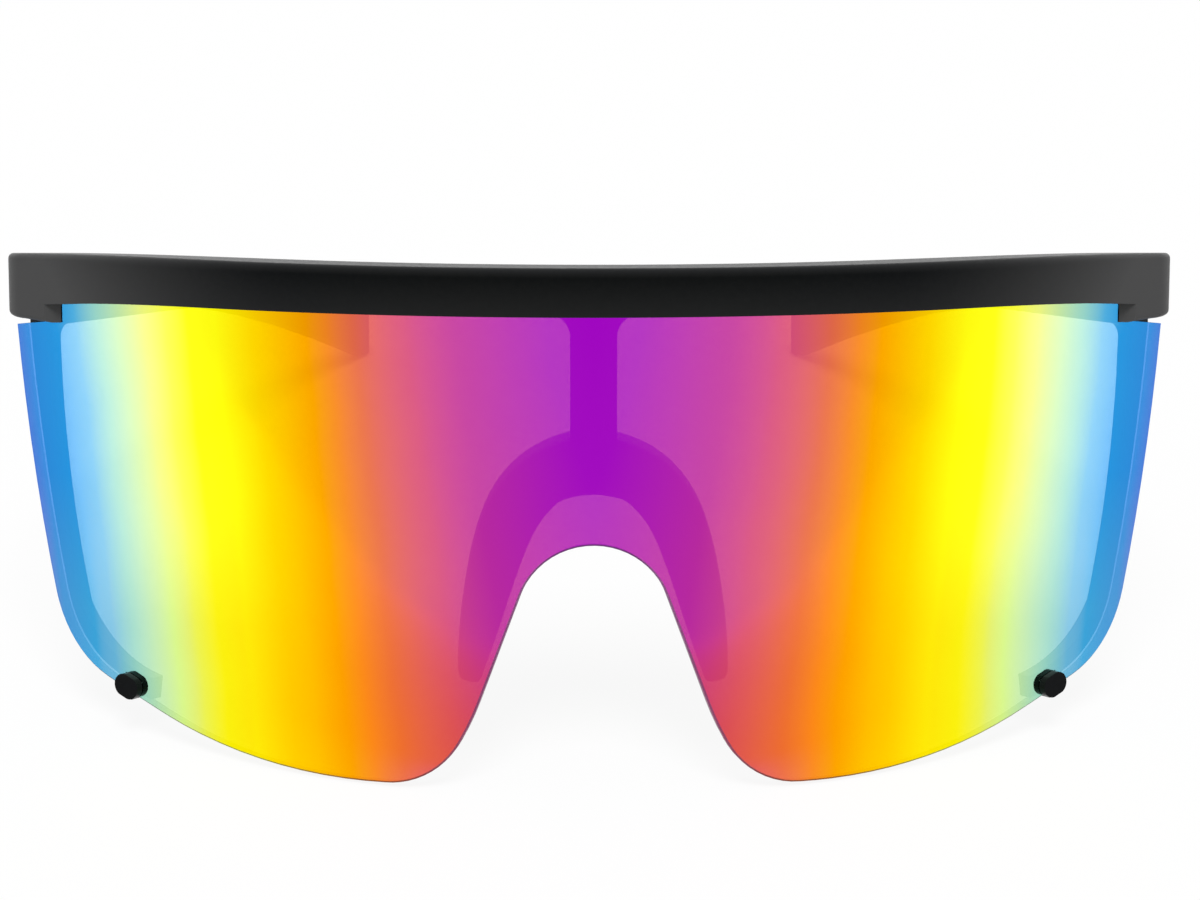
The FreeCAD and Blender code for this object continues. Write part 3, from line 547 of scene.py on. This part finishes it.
# White table and background
table = {
    "size": 6.0,
    "drop": 0.0001,
    "colour": (0.95, 0.95, 0.95, 1.0),
    "glow": 0.9,             # how much of its white is its own, seen straight
    "lensGlow": 0.1,         # the same seen through the dark lens, where shadows show more
    "mirrorGlow": 1.1,       # how bright it is in the mirror lens
    "warm": [                # how far in front, its colour in the mirror: the lens throws its own light there
        (0.10, (1.0, 1.0, 1.0)), (0.16, (1.0, 0.90, 0.26)),
        (0.60, (1.0, 0.96, 0.46)), (2.4, (1.0, 1.0, 0.9)),
    ],
    "warmSide": (0.6, 0.95),  # that fades between these shares of sideways to forward distance
}


def makeTable():
    # Part of the table's white is its own, so that it stays white while it keeps the shadows;
    # in the mirror lens all of it is, with a warm cast in front of the glasses
    material, tree, surface = newMaterial("whiteTable")
    path = tree.nodes.new("ShaderNodeLightPath")
    mirrored = calc(tree, "MAXIMUM", path.outputs["Is Glossy Ray"], path.outputs["Is Transmission Ray"])
    across, back = splitUp(tree, objectPlace(tree))[:2]
    ahead = calc(tree, "MULTIPLY", back, -1.0)
    aside = calc(tree, "DIVIDE", calc(tree, "ABSOLUTE", across), ahead)
    warmShare = calc(tree, "MULTIPLY", mirrored, spread(tree, aside, (1.0, 0.0), table["warmSide"]))
    glow = tree.nodes.new("ShaderNodeEmission")
    feed(tree, glow.inputs["Color"], blended(tree, warmShare, white, colourAlong(tree, ahead, table["warm"])))
    feed(tree, glow.inputs["Strength"], spread(tree, mirrored, (1.0, table["mirrorGlow"]), (0.0, 1.0)))
    paint = tree.nodes.new("ShaderNodeBsdfDiffuse")
    paint.inputs["Color"].default_value = table["colour"]
    own = spread(tree, path.outputs["Transparent Depth"], (table["glow"], table["lensGlow"]), (0.0, 1.0))
    share = calc(tree, "MAXIMUM", mirrored, calc(tree, "MULTIPLY", path.outputs["Is Camera Ray"], own))
    tree.links.new(mixed(tree, share, paint.outputs[0], glow.outputs[0]), surface)
    bpy.ops.object.select_all(action="DESELECT")
    bpy.ops.mesh.primitive_plane_add(size=table["size"], location=(0.0, 0.0, -table["drop"]))
    top = bpy.context.object
    top.name = "tableTop"
    top.data.materials.append(material)


# The room is white; mirrors see it a little darker in front and brighter at the sides and behind
room = {
    "fill": 0.45,            # its light on the glasses
    "front": 1.0,
    "sides": 2.2,
    "turn": (-0.55, 0.3),    # y of the directions between which front passes into sides
}


def makeRoom():
    world = bpy.data.worlds.new("whiteRoom")
    world.use_nodes = True
    scene.world = world
    tree = world.node_tree
    tree.nodes.clear()
    output = tree.nodes.new("ShaderNodeOutputWorld")
    background = tree.nodes.new("ShaderNodeBackground")
    background.inputs["Color"].default_value = white
    path = tree.nodes.new("ShaderNodeLightPath")
    way = tree.nodes.new("ShaderNodeTexCoord")
    back = splitUp(tree, way.outputs["Generated"])[1]
    inMirror = spread(tree, back, (room["front"], room["sides"]), room["turn"], "SMOOTHSTEP")
    seen = calc(tree, "MAXIMUM", path.outputs["Is Camera Ray"], path.outputs["Is Transmission Ray"])
    strength = calc(tree, "MAXIMUM", spread(tree, seen, (room["fill"], 1.0), (0.0, 1.0)),
                    calc(tree, "MULTIPLY", inMirror, path.outputs["Is Glossy Ray"]))
    tree.links.new(strength, background.inputs["Strength"])
    tree.links.new(background.outputs[0], output.inputs["Surface"])


# One soft key light from the front, high above the camera
keyLight = {"elevation": 62.0, "softness": 26.0, "strength": 2.1}    # angles in degrees


def makeLamps():
    light = bpy.data.lights.new("keyLight", "SUN")
    light.angle = math.radians(keyLight["softness"])
    light.energy = keyLight["strength"]
    lamp = bpy.data.objects.new("keyLight", light)
    lamp.rotation_euler = (math.radians(90 - keyLight["elevation"]), 0.0, 0.0)
    lamp.visible_glossy = False
    scene.collection.objects.link(lamp)


# Camera of the photograph, placed in the front's upright frame
view = {
    "place": (-0.00581, -0.420, 0.10472),
    "pitch": 8.417,          # degrees down
    "yaw": -0.896,           # degrees, a little to +X
    "roll": 0.074,
    "focal": 103.95,         # mm
    "sensor": 36.0,
    "nearest": 0.01,
}


def makeCamera():
    lens = bpy.data.cameras.new("photoCamera")
    lens.sensor_fit = "HORIZONTAL"
    lens.sensor_width = view["sensor"]
    lens.lens = view["focal"]
    lens.clip_start = view["nearest"]
    camera = bpy.data.objects.new("photoCamera", lens)
    aim = (Matrix.Rotation(math.radians(view["yaw"]), 4, "Z")
           @ Matrix.Rotation(math.radians(90 - view["pitch"]), 4, "X")
           @ Matrix.Rotation(math.radians(view["roll"]), 4, "Z"))
    camera.matrix_world = frontPlace @ Matrix.Translation(view["place"]) @ aim
    scene.collection.objects.link(camera)
    scene.camera = camera


makeTable()
makeRoom()
makeLamps()
makeCamera()
print("table, room, lamps and camera set")
